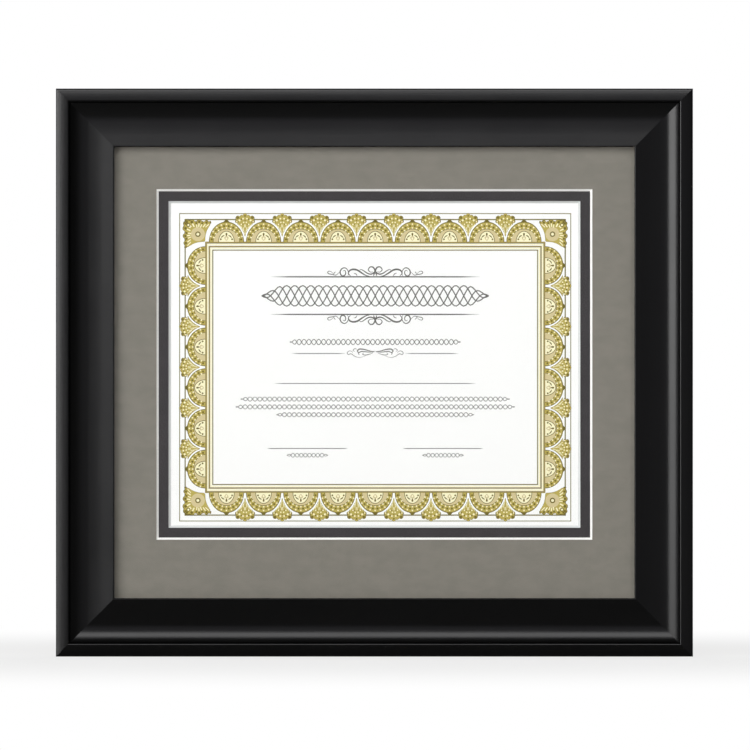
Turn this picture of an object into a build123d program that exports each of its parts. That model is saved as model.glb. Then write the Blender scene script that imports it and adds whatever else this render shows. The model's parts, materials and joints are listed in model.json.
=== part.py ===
"""A landscape certificate frame that hangs on a wall.

Four mitred lengths of scooped moulding hold a pane of glass, two bevel-cut mats, the certificate and its
backing. Eight turn buttons on the back hold that package in, and a sawtooth hanger carries the frame.

Sizes are in millimetres. X runs to the right as seen from the front, Z runs up and the front faces -Y.
The pieces are drawn about the middle of the frame. The finished model has its origin in the central notch of
the hanger, in the plane of the wall.
"""

from build123d import *
from math import asin, cos, radians, sin, tan
import os

# Certificate and its hinges
certificate_width = 279.4
certificate_height = 215.9
certificate_thickness = 0.2
hinge_tape_thickness = 0.1
hinge_spacing = 150.0
pendant_width = 20.0
pendant_below_edge = 8.0
pendant_above_edge = 15.0
crossbar_width = 46.0
crossbar_height = 12.0
crossbar_above_edge = 1.5

# Mats
mat_thickness = 1.4
mat_bevel_angle = 45.0
cover_sides = 6.9
cover_top_bottom = 2.9
reveal = 6.4
border_sides = 27.4
border_top = 27.4
border_bottom = 38.0
bond_tape_thickness = 0.1
bond_tape_width = 12.0
bond_tape_setback = 6.0
fold_leaf_thickness = 0.1
fold_leaf_height = 14.0
fold_end_margin = 25.0

# Glass and boards behind the certificate
glazing_thickness = 2.0
glazing_seam = 0.3
mount_board_thickness = 1.4
filler_thickness = 3.0
backing_thickness = 3.0

# Moulding
moulding_width = 38.0
lip_width = 8.4
lip_fall = 1.4
lip_crown = 0.12
outer_arris_radius = 1.2
inner_arris_radius = 1.2
quirk_drop = 3.0
quirk_run = 1.0
scoop_radius = 17.0
scoop_bottom = 19.5
slope_angle = 6.5
slope_radius = 160.0
nose_radius = 0.5
sight_thickness = 4.0
rabbet_width = 6.4
rabbet_clearance = 0.8
back_chamfer = 0.8
saw_overrun = 6.0

# V-nails in the mitres
v_nail_half_spread = 4.4
v_nail_rise = 3.1
v_nail_thickness = 0.6
v_nail_depth = 8.0
v_nail_insets = (11.0, 24.0)

# Turn buttons and their screws
button_thickness = 1.2
button_pivot_radius = 6.5
button_tip_radius = 4.5
button_reach = 17.5
button_pivot_inset = 24.0
button_bend_start = 14.0
button_bend_rise = 1.4
button_edge_chamfer = 0.25
button_running_clearance = 0.08
button_spread_rails = 95.0
button_spread_stiles = 80.0
button_screw_head_radius = 3.2
button_screw_head_height = 1.9
button_screw_shank_radius = 1.45
button_screw_length = 10.0

# Shared screw details
screw_rim_height = 0.8
screw_crown_share = 0.62
screw_recess_width = 0.8
screw_recess_span = 3.2
screw_recess_depth = 1.0
pilot_clearance = 0.05
pilot_overrun = 1.0

# Sawtooth hanger
hanger_length = 46.0
hanger_height = 10.0
hanger_thickness = 0.9
hanger_gap = 1.8
hanger_tab = 9.5
hanger_ramp = 2.5
hanger_corner_radius = 1.5
hanger_notch_below_edge = 17.0
hanger_hole_inset = 4.5
hanger_hole_clearance = 0.1
tooth_pitch = 3.2
tooth_depth = 1.6
tooth_count = 5
hanger_screw_head_radius = 2.6
hanger_screw_head_height = 1.6
hanger_screw_shank_radius = 1.2
hanger_screw_length = 9.0

# Rubber bumpers at the bottom corners
bumper_radius = 6.0
bumper_face_radius = 4.8
bumper_height = 4.0
bumper_from_side = 32.0
bumper_from_bottom = 13.0

# Depth of the package, from the wall forward
back_y = -bumper_height
backing_front = back_y - backing_thickness
filler_front = backing_front - filler_thickness
mount_board_front = filler_front - mount_board_thickness
certificate_back = mount_board_front - hinge_tape_thickness
certificate_front = certificate_back - certificate_thickness
bottom_mat_front = certificate_front - mat_thickness
top_mat_back = bottom_mat_front - bond_tape_thickness
top_mat_front = top_mat_back - mat_thickness
glazing_front = top_mat_front - glazing_thickness
rabbet_depth = back_y - glazing_front

# Widths and heights, from the certificate outward
bevel_run = mat_thickness * tan(radians(mat_bevel_angle))
bottom_opening_width = certificate_width - 2 * cover_sides
bottom_opening_height = certificate_height - 2 * cover_top_bottom
top_opening_width = bottom_opening_width + 2 * (bevel_run + reveal)
top_opening_height = bottom_opening_height + 2 * (bevel_run + reveal)
sight_width = top_opening_width + 2 * (bevel_run + border_sides)
sight_height = top_opening_height + 2 * bevel_run + border_top + border_bottom
window_z = (border_bottom - border_top) / 2
board_width = sight_width + 2 * (rabbet_width - rabbet_clearance)
board_height = sight_height + 2 * (rabbet_width - rabbet_clearance)
outer_width = sight_width + 2 * moulding_width
outer_height = sight_height + 2 * moulding_width

# Heights of the moulding's face above its back
scoop_start = lip_width + quirk_run
slope_start = scoop_bottom + scoop_radius * sin(radians(slope_angle))
slope_end_angle = asin(sin(radians(slope_angle)) + (moulding_width - slope_start) / slope_radius)
sight_front = rabbet_depth + sight_thickness
slope_front = sight_front - slope_radius * (cos(radians(slope_angle)) - cos(slope_end_angle))
bottom_front = slope_front - scoop_radius * (1 - cos(radians(slope_angle)))
scoop_front = bottom_front + scoop_radius * (1 - cos(asin((scoop_bottom - scoop_start) / scoop_radius)))
moulding_depth = scoop_front + quirk_drop

# Height of the frame's middle when the hanger's notch is the origin
middle_z = hanger_notch_below_edge - outer_height / 2


def upright(y):
    """The vertical plane at depth y, seen from the front, with its normal towards the viewer."""
    return Plane(origin=(0, y, 0), x_dir=(1, 0, 0), z_dir=(0, -1, 0))


def board(width, height, back, front):
    """A flat rectangular board between two depths."""
    return extrude(upright(back) * Rectangle(width, height), back - front)


def strip(left, right, bottom, top, back, front):
    """A flat strip of tape given by its edges."""
    middle = Pos((left + right) / 2, 0, (bottom + top) / 2)
    return middle * board(right - left, top - bottom, back, front)


def group(pieces):
    """Several separate solids of one kind."""
    return Compound([piece.solid() for piece in pieces])


def moulding_section():
    """The moulding's section: x runs in from the outer edge and y runs forward from the back.

    The lip falls outwards. A quirk steps down into the scoop, whose far side rises to the sight edge.
    """
    rabbet_wall = moulding_width - rabbet_width
    lip_foot = (0, moulding_depth - lip_fall)
    lip_peak = (lip_width, moulding_depth)
    sight_corner = (moulding_width, sight_front)
    back_and_side = Polyline((rabbet_wall, 0), (back_chamfer, 0), (0, back_chamfer), lip_foot)
    lip = SagittaArc(lip_foot, lip_peak, lip_crown)
    quirk_foot = (scoop_start, scoop_front)
    slope_foot = (slope_start, slope_front)
    quirk = Line(lip_peak, quirk_foot)
    scoop = ThreePointArc(quirk_foot, (scoop_bottom, bottom_front), slope_foot)
    slope = RadiusArc(slope_foot, sight_corner, -slope_radius)
    sight_and_rabbet = Polyline(sight_corner, (moulding_width, rabbet_depth), (rabbet_wall, rabbet_depth),
                                (rabbet_wall, 0))
    section = make_face(back_and_side + lip + quirk + scoop + slope + sight_and_rabbet)
    rounds = {lip_foot: outer_arris_radius, lip_peak: inner_arris_radius, sight_corner: nose_radius}
    for corner, radius in rounds.items():
        section = fillet(section.vertices().sort_by_distance(corner)[0], radius)
    return section


def mitred_rail(length, edge_distance):
    """A length of moulding along X, mitred at both ends, with its outer edge at height edge_distance."""
    section_plane = Plane(origin=(0, back_y, edge_distance), x_dir=(0, 0, -1), z_dir=(-1, 0, 0))
    bar = extrude(section_plane * moulding_section(), length / 2 + saw_overrun, both=True)
    outside = saw_overrun
    inside = moulding_width + saw_overrun
    wedge = make_face(
        Polyline(
            (-length / 2 - outside, edge_distance + outside),
            (length / 2 + outside, edge_distance + outside),
            (length / 2 - inside, edge_distance - inside),
            (-length / 2 + inside, edge_distance - inside),
            close=True,
        )
    )
    return bar & extrude(upright(back_y) * wedge, moulding_depth + saw_overrun, both=True)


def v_nail():
    """One bent steel V-nail, driven forward from the back, with its point up."""
    bend = Polyline((-v_nail_half_spread, -v_nail_rise), (0, 0), (v_nail_half_spread, -v_nail_rise))
    return extrude(upright(back_y) * trace(bend, v_nail_thickness), v_nail_depth)


def corner_v_nails():
    """Two V-nails on the mitre line of every corner, pointing to the outer corner."""
    quarter_turns = {(1, 1): 45, (1, -1): 135, (-1, -1): 225, (-1, 1): 315}
    nails = []
    for (side, level), turn in quarter_turns.items():
        for inset in v_nail_insets:
            place = Pos(side * (outer_width / 2 - inset), 0, level * (outer_height / 2 - inset))
            nails.append(place * Rot(0, turn, 0) * v_nail())
    return nails


def mat(opening_width, opening_height, back, front):
    """A matboard with a bevel-cut window that widens towards the viewer."""
    window = Pos(0, 0, window_z) * extrude(
        upright(back) * Rectangle(opening_width, opening_height), back - front, taper=-mat_bevel_angle
    )
    return board(board_width, board_height, back, front) - window


def mat_bond_tape():
    """Four strips of double-sided tape between the mats, round the window."""
    near_x = top_opening_width / 2 + bond_tape_setback
    near_z = top_opening_height / 2 + bond_tape_setback
    far_x = near_x + bond_tape_width
    far_z = near_z + bond_tape_width
    depths = (bottom_mat_front, top_mat_back)
    flat = [
        strip(-far_x, far_x, near_z, far_z, *depths),
        strip(-far_x, far_x, -far_z, -near_z, *depths),
        strip(-far_x, -near_x, -near_z, near_z, *depths),
        strip(near_x, far_x, -near_z, near_z, *depths),
    ]
    return [Pos(0, 0, window_z) * piece for piece in flat]


def certificate_hinges():
    """Two T-hinges: a pendant behind the sheet's top edge, and a crossbar over each pendant."""
    sheet_top = window_z + certificate_height / 2
    hinges = []
    for side in (-1, 1):
        x = side * hinge_spacing / 2
        pendant_bottom = sheet_top - pendant_below_edge
        pendant_top = sheet_top + pendant_above_edge
        bar_bottom = sheet_top + crossbar_above_edge
        bar_top = bar_bottom + crossbar_height
        pendant_left = x - pendant_width / 2
        bar_left = x - crossbar_width / 2
        hinges.append(
            strip(pendant_left, pendant_left + pendant_width, pendant_bottom, pendant_top,
                  mount_board_front, certificate_back)
        )
        hinges.append(
            strip(bar_left, bar_left + crossbar_width, bar_bottom, bar_top,
                  certificate_back, certificate_back - hinge_tape_thickness)
        )
    return hinges


def mat_hinge_tape():
    """A tape folded along the top edge: one leaf on the bottom mat, the other on the mount board."""
    half_length = board_width / 2 - fold_end_margin
    top = board_height / 2
    bottom = top - fold_leaf_height
    whole = strip(-half_length, half_length, bottom, top, mount_board_front, certificate_front)
    slot = strip(
        -half_length, half_length, bottom, top - fold_leaf_thickness,
        mount_board_front - fold_leaf_thickness, certificate_front + fold_leaf_thickness
    )
    return whole - slot


def glazing():
    """The glass, with its sharp edges seamed."""
    pane = board(board_width, board_height, top_mat_front, glazing_front)
    faces = pane.faces().sort_by(Axis.Y)
    return chamfer(faces[0].edges() + faces[-1].edges(), glazing_seam)


def pan_head_screw(seat_y, head_radius, head_height, shank_radius, length):
    """A cross-recessed screw that points forward, with its head seated on the plane seat_y."""
    top_y = seat_y + head_height
    point_y = seat_y - length
    half_section = Polyline(
        (0, point_y),
        (shank_radius, point_y),
        (shank_radius, seat_y),
        (head_radius, seat_y),
        (head_radius, seat_y + screw_rim_height),
        (head_radius * screw_crown_share, top_y),
        (0, top_y),
        close=True,
    )
    blank = revolve(make_face(half_section), Axis.Y)
    recess_place = Pos(0, top_y, 0)
    recess = Box(screw_recess_span, 2 * screw_recess_depth, screw_recess_width)
    cross = recess + Rot(0, 90, 0) * recess
    return blank - recess_place * cross


def pilot_hole(shank_radius, depth):
    """The hole for a screw's shank, drilled forward from the back of the moulding."""
    drill = upright(back_y) * Circle(shank_radius + pilot_clearance)
    return extrude(drill, depth + pilot_overrun)


def turn_button():
    """A stamped steel turn button, drawn with its pivot at the middle and its tip up."""
    outline = make_hull(
        Circle(button_pivot_radius).edges() + (Pos(0, button_reach) * Circle(button_tip_radius)).edges()
    )
    full_height = button_thickness + button_bend_rise
    blank = extrude(upright(back_y + full_height) * outline, full_height)
    tip_end = button_reach + button_tip_radius
    side_view = make_face(
        Polyline(
            (back_y, -button_pivot_radius),
            (back_y, button_bend_start),
            (back_y + button_bend_rise, tip_end),
            (back_y + full_height, tip_end),
            (back_y + button_thickness, button_bend_start),
            (back_y + button_thickness, -button_pivot_radius),
            close=True,
        )
    )
    bent_plate = extrude(Plane.YZ * side_view, button_pivot_radius, both=True)
    plate = bent_plate & blank
    rim = [edge for edge in plate.faces().filter_by(faces_wall).edges() if not is_bend_line(edge)]
    plate = chamfer(rim, button_edge_chamfer)
    bore_radius = button_screw_shank_radius + button_running_clearance
    bore = extrude(upright(back_y) * Circle(bore_radius), full_height, both=True)
    return plate - bore


def faces_wall(face):
    """True for a face that looks more towards the wall than to any side."""
    normal = face.normal_at()
    return normal.Y > max(abs(normal.X), abs(normal.Z))


def is_bend_line(edge):
    """True for the straight line across a turn button where its tip starts to rise."""
    return edge.geom_type == GeomType.LINE and abs(edge.center().Z - button_bend_start) < button_edge_chamfer


def turn_button_places():
    """Where each turn button pivots, and the turn that points its tip at the middle of the frame."""
    rail_z = outer_height / 2 - button_pivot_inset
    stile_x = outer_width / 2 - button_pivot_inset
    return {
        "top_left": Pos(-button_spread_rails, 0, rail_z) * Rot(0, 180, 0),
        "top_right": Pos(button_spread_rails, 0, rail_z) * Rot(0, 180, 0),
        "bottom_left": Pos(-button_spread_rails, 0, -rail_z),
        "bottom_right": Pos(button_spread_rails, 0, -rail_z),
        "left_upper": Pos(-stile_x, 0, button_spread_stiles) * Rot(0, 90, 0),
        "left_lower": Pos(-stile_x, 0, -button_spread_stiles) * Rot(0, 90, 0),
        "right_upper": Pos(stile_x, 0, button_spread_stiles) * Rot(0, -90, 0),
        "right_lower": Pos(stile_x, 0, -button_spread_stiles) * Rot(0, -90, 0),
    }


def sawtooth_hanger():
    """A stamped strip, raised in the middle, with teeth below. Its central notch is at z = 0."""
    half = hanger_length / 2
    bottom = -tooth_depth
    raised_from = half - hanger_tab
    raised_to = raised_from - hanger_ramp
    half_thickness = hanger_thickness / 2
    bend = Polyline(
        (-half, half_thickness),
        (-raised_from, half_thickness),
        (-raised_to, hanger_gap + half_thickness),
        (raised_to, hanger_gap + half_thickness),
        (raised_from, half_thickness),
        (half, half_thickness),
    )
    plate = Pos(0, back_y, bottom) * extrude(trace(bend, hanger_thickness), hanger_height)
    corners = plate.edges().filter_by(Axis.Y).group_by(lambda edge: abs(edge.center().X))[-1]
    plate = fillet(corners, hanger_corner_radius)
    tooth = make_face(
        Polyline((-tooth_pitch / 2, bottom), (0, 0), (tooth_pitch / 2, bottom), close=True)
    )
    notch = extrude(upright(0) * tooth, bumper_height)
    for number in range(tooth_count):
        plate -= Pos((number - (tooth_count - 1) / 2) * tooth_pitch, 0, 0) * notch
    hole = extrude(upright(0) * Circle(hanger_screw_shank_radius + hanger_hole_clearance), bumper_height)
    for place in hanger_screw_places():
        plate -= place * hole
    return plate


def hanger_screw_places():
    """The middles of the hanger's two holes, measured from its central notch."""
    hole_z = hanger_height / 2 - tooth_depth
    hole_x = hanger_length / 2 - hanger_hole_inset
    return [Pos(-hole_x, 0, hole_z), Pos(hole_x, 0, hole_z)]


def wall_bumper():
    """A round rubber bumper with a flat face that rests on the wall."""
    base_down = (Align.CENTER, Align.CENTER, Align.MIN)
    cone = Cone(bumper_radius, bumper_face_radius, bumper_height, align=base_down)
    return Pos(0, back_y, 0) * Rot(-90, 0, 0) * cone


nodes = {}

# Moulding, with the slots of the V-nails and the pilot holes of the screws
nails = corner_v_nails()
hanger_place = Pos(0, 0, outer_height / 2 - hanger_notch_below_edge)
button_depth = button_screw_length - button_thickness
hanger_depth = hanger_screw_length - hanger_thickness
cuts = nails + [place * pilot_hole(button_screw_shank_radius, button_depth)
                for place in turn_button_places().values()]
cuts += [hanger_place * place * pilot_hole(hanger_screw_shank_radius, hanger_depth)
         for place in hanger_screw_places()]
rail = mitred_rail(outer_width, outer_height / 2)
stile = mitred_rail(outer_height, outer_width / 2)
blanks = {
    "top_rail": rail,
    "bottom_rail": Rot(0, 180, 0) * rail,
    "left_stile": Rot(0, -90, 0) * stile,
    "right_stile": Rot(0, 90, 0) * stile,
}
for name, blank in blanks.items():
    nodes[name] = blank - cuts
nodes["corner_v_nails"] = group(nails)

# Glazing package, from the front
nodes["glazing"] = glazing()
nodes["top_mat"] = mat(top_opening_width, top_opening_height, top_mat_back, top_mat_front)
nodes["mat_bond_tape"] = group(mat_bond_tape())
nodes["bottom_mat"] = mat(bottom_opening_width, bottom_opening_height, certificate_front, bottom_mat_front)
nodes["certificate"] = Pos(0, 0, window_z) * board(
    certificate_width, certificate_height, certificate_back, certificate_front
)
nodes["certificate_hinges"] = group(certificate_hinges())
nodes["mat_hinge_tape"] = mat_hinge_tape()
nodes["mount_board"] = board(board_width, board_height, filler_front, mount_board_front)
nodes["filler_board"] = board(board_width, board_height, backing_front, filler_front)
nodes["backing_panel"] = board(board_width, board_height, back_y, backing_front)

# Turn buttons on their screws
button = turn_button()
button_screw = pan_head_screw(
    back_y + button_thickness, button_screw_head_radius, button_screw_head_height,
    button_screw_shank_radius, button_screw_length
)
for name, place in turn_button_places().items():
    nodes["turn_button_" + name] = place * button
nodes["turn_button_screws"] = group([place * button_screw for place in turn_button_places().values()])

# Hanger on the top rail
hanger_screw = pan_head_screw(
    back_y + hanger_thickness, hanger_screw_head_radius, hanger_screw_head_height,
    hanger_screw_shank_radius, hanger_screw_length
)
nodes["sawtooth_hanger"] = hanger_place * sawtooth_hanger()
nodes["hanger_screws"] = group([hanger_place * place * hanger_screw for place in hanger_screw_places()])

# Bumpers on the bottom rail
bumper_x = outer_width / 2 - bumper_from_side
bumper_z = bumper_from_bottom - outer_height / 2
nodes["wall_bumpers"] = group([Pos(side * bumper_x, 0, bumper_z) * wall_bumper() for side in (-1, 1)])

# Finished model, with its origin at the hanger's notch
os.makedirs("parts", exist_ok=True)
for name, piece in nodes.items():
    export_step(Pos(0, 0, middle_z) * piece, f"parts/{name}.step")
print(f"{len(nodes)} nodes, outer size {outer_width:.1f} x {moulding_depth:.1f} x {outer_height:.1f}")
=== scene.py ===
# %% [markdown]
# # Dressing a certificate frame
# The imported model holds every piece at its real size: four mitred rails, the glass, two mats, the sheet,
# the boards behind it and the hardware on the back. This lesson gives each piece its finish, prints the
# border on the sheet, and lights the whole as a small studio would. Lengths in Blender are metres, so a
# length written in millimetres is multiplied by MM.

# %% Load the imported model
import json
import math

import bmesh
import bpy
from mathutils import Matrix, Vector


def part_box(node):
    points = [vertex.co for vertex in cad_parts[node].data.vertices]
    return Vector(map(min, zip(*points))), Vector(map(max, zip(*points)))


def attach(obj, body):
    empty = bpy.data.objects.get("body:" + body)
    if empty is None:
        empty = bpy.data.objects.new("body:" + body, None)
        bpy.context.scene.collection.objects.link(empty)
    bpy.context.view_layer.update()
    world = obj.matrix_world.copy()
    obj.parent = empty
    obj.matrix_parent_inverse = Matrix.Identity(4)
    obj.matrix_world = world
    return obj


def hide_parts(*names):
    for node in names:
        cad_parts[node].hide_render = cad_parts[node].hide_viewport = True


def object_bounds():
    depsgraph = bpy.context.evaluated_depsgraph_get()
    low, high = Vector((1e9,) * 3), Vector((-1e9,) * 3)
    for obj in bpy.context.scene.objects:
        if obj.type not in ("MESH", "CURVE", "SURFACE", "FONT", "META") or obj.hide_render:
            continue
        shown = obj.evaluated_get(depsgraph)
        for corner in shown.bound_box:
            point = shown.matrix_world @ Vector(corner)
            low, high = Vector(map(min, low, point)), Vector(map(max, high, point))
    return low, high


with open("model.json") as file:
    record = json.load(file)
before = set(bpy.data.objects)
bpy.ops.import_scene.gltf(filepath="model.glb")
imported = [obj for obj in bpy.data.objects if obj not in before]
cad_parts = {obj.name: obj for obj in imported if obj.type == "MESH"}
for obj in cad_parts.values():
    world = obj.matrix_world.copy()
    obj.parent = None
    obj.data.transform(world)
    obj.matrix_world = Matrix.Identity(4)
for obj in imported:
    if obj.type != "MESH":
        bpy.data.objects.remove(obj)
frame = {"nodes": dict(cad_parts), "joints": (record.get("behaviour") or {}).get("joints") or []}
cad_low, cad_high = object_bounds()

MM = 0.001
BODY = "frame"
middle_z = (cad_low.z + cad_high.z) / 2
half_width = cad_high.x
half_height = cad_high.z - middle_z
back_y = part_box("top_rail")[1].y

# %% [markdown]
# ## Short calls for nodes
# A finish is a small tree of nodes. Adding nodes one by one takes many lines, so this class keeps one short
# call for each kind that the frame needs. Each call returns an output that the next call can take. A number
# or colour that is the same all over goes straight onto the shader's own socket.

# %% Node helpers
class Wiring:
    """Adds nodes to one tree. A value may be a plain number or colour, or another node's output."""

    def __init__(self, tree):
        self.tree = tree

    def put(self, socket, value):
        if isinstance(value, bpy.types.NodeSocket):
            self.tree.links.new(value, socket)
        else:
            socket.default_value = value

    def add(self, kind, values=None, **settings):
        node = self.tree.nodes.new("ShaderNode" + kind)
        for name, setting in settings.items():
            setattr(node, name, setting)
        for name, value in (values or {}).items():
            self.put(node.inputs[name], value)
        return node

    def maths(self, operation, first, second=0.0):
        return self.add("Math", {0: first, 1: second}, operation=operation).outputs[0]

    def rise(self, value, start, end, low=0.0, high=1.0):
        """A smooth change from low to high while value goes from start to end."""
        values = {0: value, 1: start, 2: end, 3: low, 4: high}
        return self.add("MapRange", values, interpolation_type="SMOOTHSTEP").outputs[0]

    def axes(self, vector):
        return self.add("SeparateXYZ", {0: vector}).outputs

    def stretch(self, spot, scale):
        return self.add("Mapping", {"Vector": spot, "Scale": scale}).outputs[0]

    def place(self, scale=(1, 1, 1), source="Object"):
        """Where a point lies on the piece, stretched by scale."""
        return self.stretch(self.add("TexCoord").outputs[source], scale)

    def along_grain(self, scale):
        """Where a point lies along and across a rail's grain, from the map that the rail carries."""
        return self.stretch(self.add("UVMap", uv_map=GRAIN_MAP).outputs[0], scale)

    def noise(self, vector, scale, detail=3.0, roughness=0.5):
        values = {"Vector": vector, "Scale": scale, "Detail": detail, "Roughness": roughness}
        return self.add("TexNoise", values).outputs[0]

    def crossed_bands(self, pitch):
        """Two sets of bands at right angles, each with its crests a pitch apart."""
        values = {"Vector": self.place(), "Scale": math.pi / (10 * pitch)}
        return [self.add("TexWave", values, bands_direction=way).outputs[1] for way in "XZ"]

    def mix(self, share, first, second):
        """A colour that goes from first to second as share goes from 0 to 1."""
        return self.add("Mix", {0: share, 6: first, 7: second}, data_type="RGBA").outputs[2]

    def bump(self, height, distance, strength):
        values = {"Height": height, "Distance": distance, "Strength": strength}
        return self.add("Bump", values).outputs[0]


class Finish(Wiring):
    """A material with one Principled shader."""

    def __init__(self, name, **plain):
        self.material = bpy.data.materials.new(name)
        self.material.use_nodes = True
        super().__init__(self.material.node_tree)
        self.shader = self.tree.nodes["Principled BSDF"]
        for socket, value in plain.items():
            self.set(socket.replace("_", " "), value)

    def set(self, socket, value):
        self.put(self.shader.inputs[socket], value)


def two_part_material(name, parts):
    """A material that mixes two shaders. parts takes its wiring and gives the share and both shaders."""
    material = bpy.data.materials.new(name)
    material.use_nodes = True
    wiring = Wiring(material.node_tree)
    nodes = material.node_tree.nodes
    nodes.remove(nodes["Principled BSDF"])
    mixed = wiring.add("MixShader", dict(enumerate(parts(wiring))))
    wiring.put(nodes["Material Output"].inputs["Surface"], mixed.outputs[0])
    return material


def paint(red, green, blue):
    """A colour in the 0 to 255 steps of a paint card, as Blender's linear values."""
    shares = [step / 255 for step in (red, green, blue)]
    return [s / 12.92 if s <= 0.04045 else ((s + 0.055) / 1.055) ** 2.4 for s in shares] + [1.0]


GRAIN_MAP = "grain"
print("node helpers ready")

# %% [markdown]
# ## The moulding's finish
# The rails are wood under satin black lacquer. The lacquer follows the open grain a little, so a faint
# streak runs along each rail. A noise pattern squeezed across the grain and drawn out along it gives those
# streaks. It drives a very shallow bump and a small change of gloss. The matting agent in a satin lacquer
# lowers its mirror, so the specular level is under that of a clear gloss.

# %% Black lacquer
def black_lacquer():
    finish = Finish("black_lacquer", Specular_IOR_Level=0.3)
    pores = finish.noise(finish.along_grain((14, 1500, 1)), 1.0, detail=4.0, roughness=0.6)
    clouds = finish.noise(finish.place(), 22.0)
    finish.set("Base Color", finish.mix(pores, paint(3, 3, 3), paint(6, 6, 6)))
    finish.set("Roughness", finish.rise(finish.maths("ADD", pores, clouds), 0.6, 1.4, 0.2, 0.25))
    finish.set("Normal", finish.bump(pores, 0.06 * MM, 0.35))
    return finish.material


lacquer = black_lacquer()
print("finish", lacquer.name)

# %% [markdown]
# Behind, the moulding is left bare. The sprayer's mist reaches a few millimetres round the back edge, so the
# wood there fades from black to its own pale tan in an uneven line. The distance of a point from the frame's
# outer edge comes from its place, and noise makes the edge of the mist ragged.

# %% Bare wood with overspray
MIST_REACH = 5.0 * MM
MIST_EDGE = -2.0 * MM, 4.0 * MM


def bare_wood():
    finish = Finish("bare_wood", Specular_IOR_Level=0.3)
    rings = finish.noise(finish.along_grain((5, 220, 1)), 1.0, detail=5.0, roughness=0.62)
    pores = finish.noise(finish.along_grain((60, 2600, 1)), 1.0, detail=2.0)
    wood = finish.mix(finish.rise(rings, 0.35, 0.68), paint(214, 184, 140), paint(178, 138, 92))
    wood = finish.mix(finish.rise(pores, 0.58, 0.78, 0.0, 0.55), wood, paint(132, 96, 60))
    across, _, up = finish.axes(finish.place())
    from_side = finish.maths("SUBTRACT", half_width, finish.maths("ABSOLUTE", across))
    height = finish.maths("ABSOLUTE", finish.maths("SUBTRACT", up, middle_z))
    from_end = finish.maths("SUBTRACT", half_height, height)
    ragged = finish.noise(finish.place(), 70.0, detail=5.0, roughness=0.6)
    reach = finish.maths("MULTIPLY", ragged, MIST_REACH)
    inside = finish.maths("SUBTRACT", finish.maths("MINIMUM", from_side, from_end), reach)
    mist = finish.rise(inside, *MIST_EDGE, 1.0, 0.0)
    finish.set("Base Color", finish.mix(mist, wood, paint(16, 15, 15)))
    finish.set("Roughness", finish.rise(pores, 0.3, 0.7, 0.62, 0.8))
    finish.set("Normal", finish.bump(finish.maths("ADD", rings, pores), 0.1 * MM, 0.4))
    return finish.material


raw_wood = bare_wood()
print("finish", raw_wood.name)

# %% [markdown]
# ## The rails
# A rail is one profile swept straight between two mitres. In the CAD model its curves are cut into coarse
# facets, which a satin finish would show as stripes, so each rail is swept again with fine steps. The
# profile is walked as a framer reads it: from the sight edge over the nose, out across the long slope and
# the scoop, up the quirk, over the lip and down the outer side. Every arc is a change of slope at a radius.
# Smooth shading bends over a whole face, so a short step after the nose keeps the straight stretch flat.

# %% The moulding's section
MOULDING_WIDTH = 38.0 * MM
SIGHT_HEIGHT = 16.41 * MM
SIGHT_SLOPE = 9.8
NOSE_RADIUS = 0.7 * MM
STRAIGHT_RUNS = 0.15 * MM, 6.636 * MM
SLOPE_RADIUS = 160.0 * MM
SCOOP_RADIUS = 17.0 * MM
SCOOP_FAR_SLOPE = 6.5
SCOOP_NEAR_SLOPE = -36.45
QUIRK_RUN = 1.0 * MM
QUIRK_RISE = 3.0 * MM
ARRIS_RADIUS = 1.2 * MM
LIP_INNER_SLOPE = 6.23
LIP_OUTER_SLOPE = 12.69
EDGE_RADIUS = 1.2 * MM
BACK_CHAMFER = 0.8 * MM
RABBET_WIDTH = 6.4 * MM
RABBET_HEIGHT = 12.6 * MM
FINE_STEPS = 8
LIP_STEPS = 10
SLOPE_STEPS = 12
SCOOP_STEPS = 28


def arc(start, radius, first, last, steps):
    """Points after start on an arc from one slope in degrees to another. A crest has a radius below 0."""
    across, height = start
    begin = math.radians(first)
    points = []
    for step in range(1, steps + 1):
        turn = math.radians(first + (last - first) * step / steps)
        points.append((across + radius * (math.sin(turn) - math.sin(begin)),
                       height + radius * (math.cos(begin) - math.cos(turn))))
    return points


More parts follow.
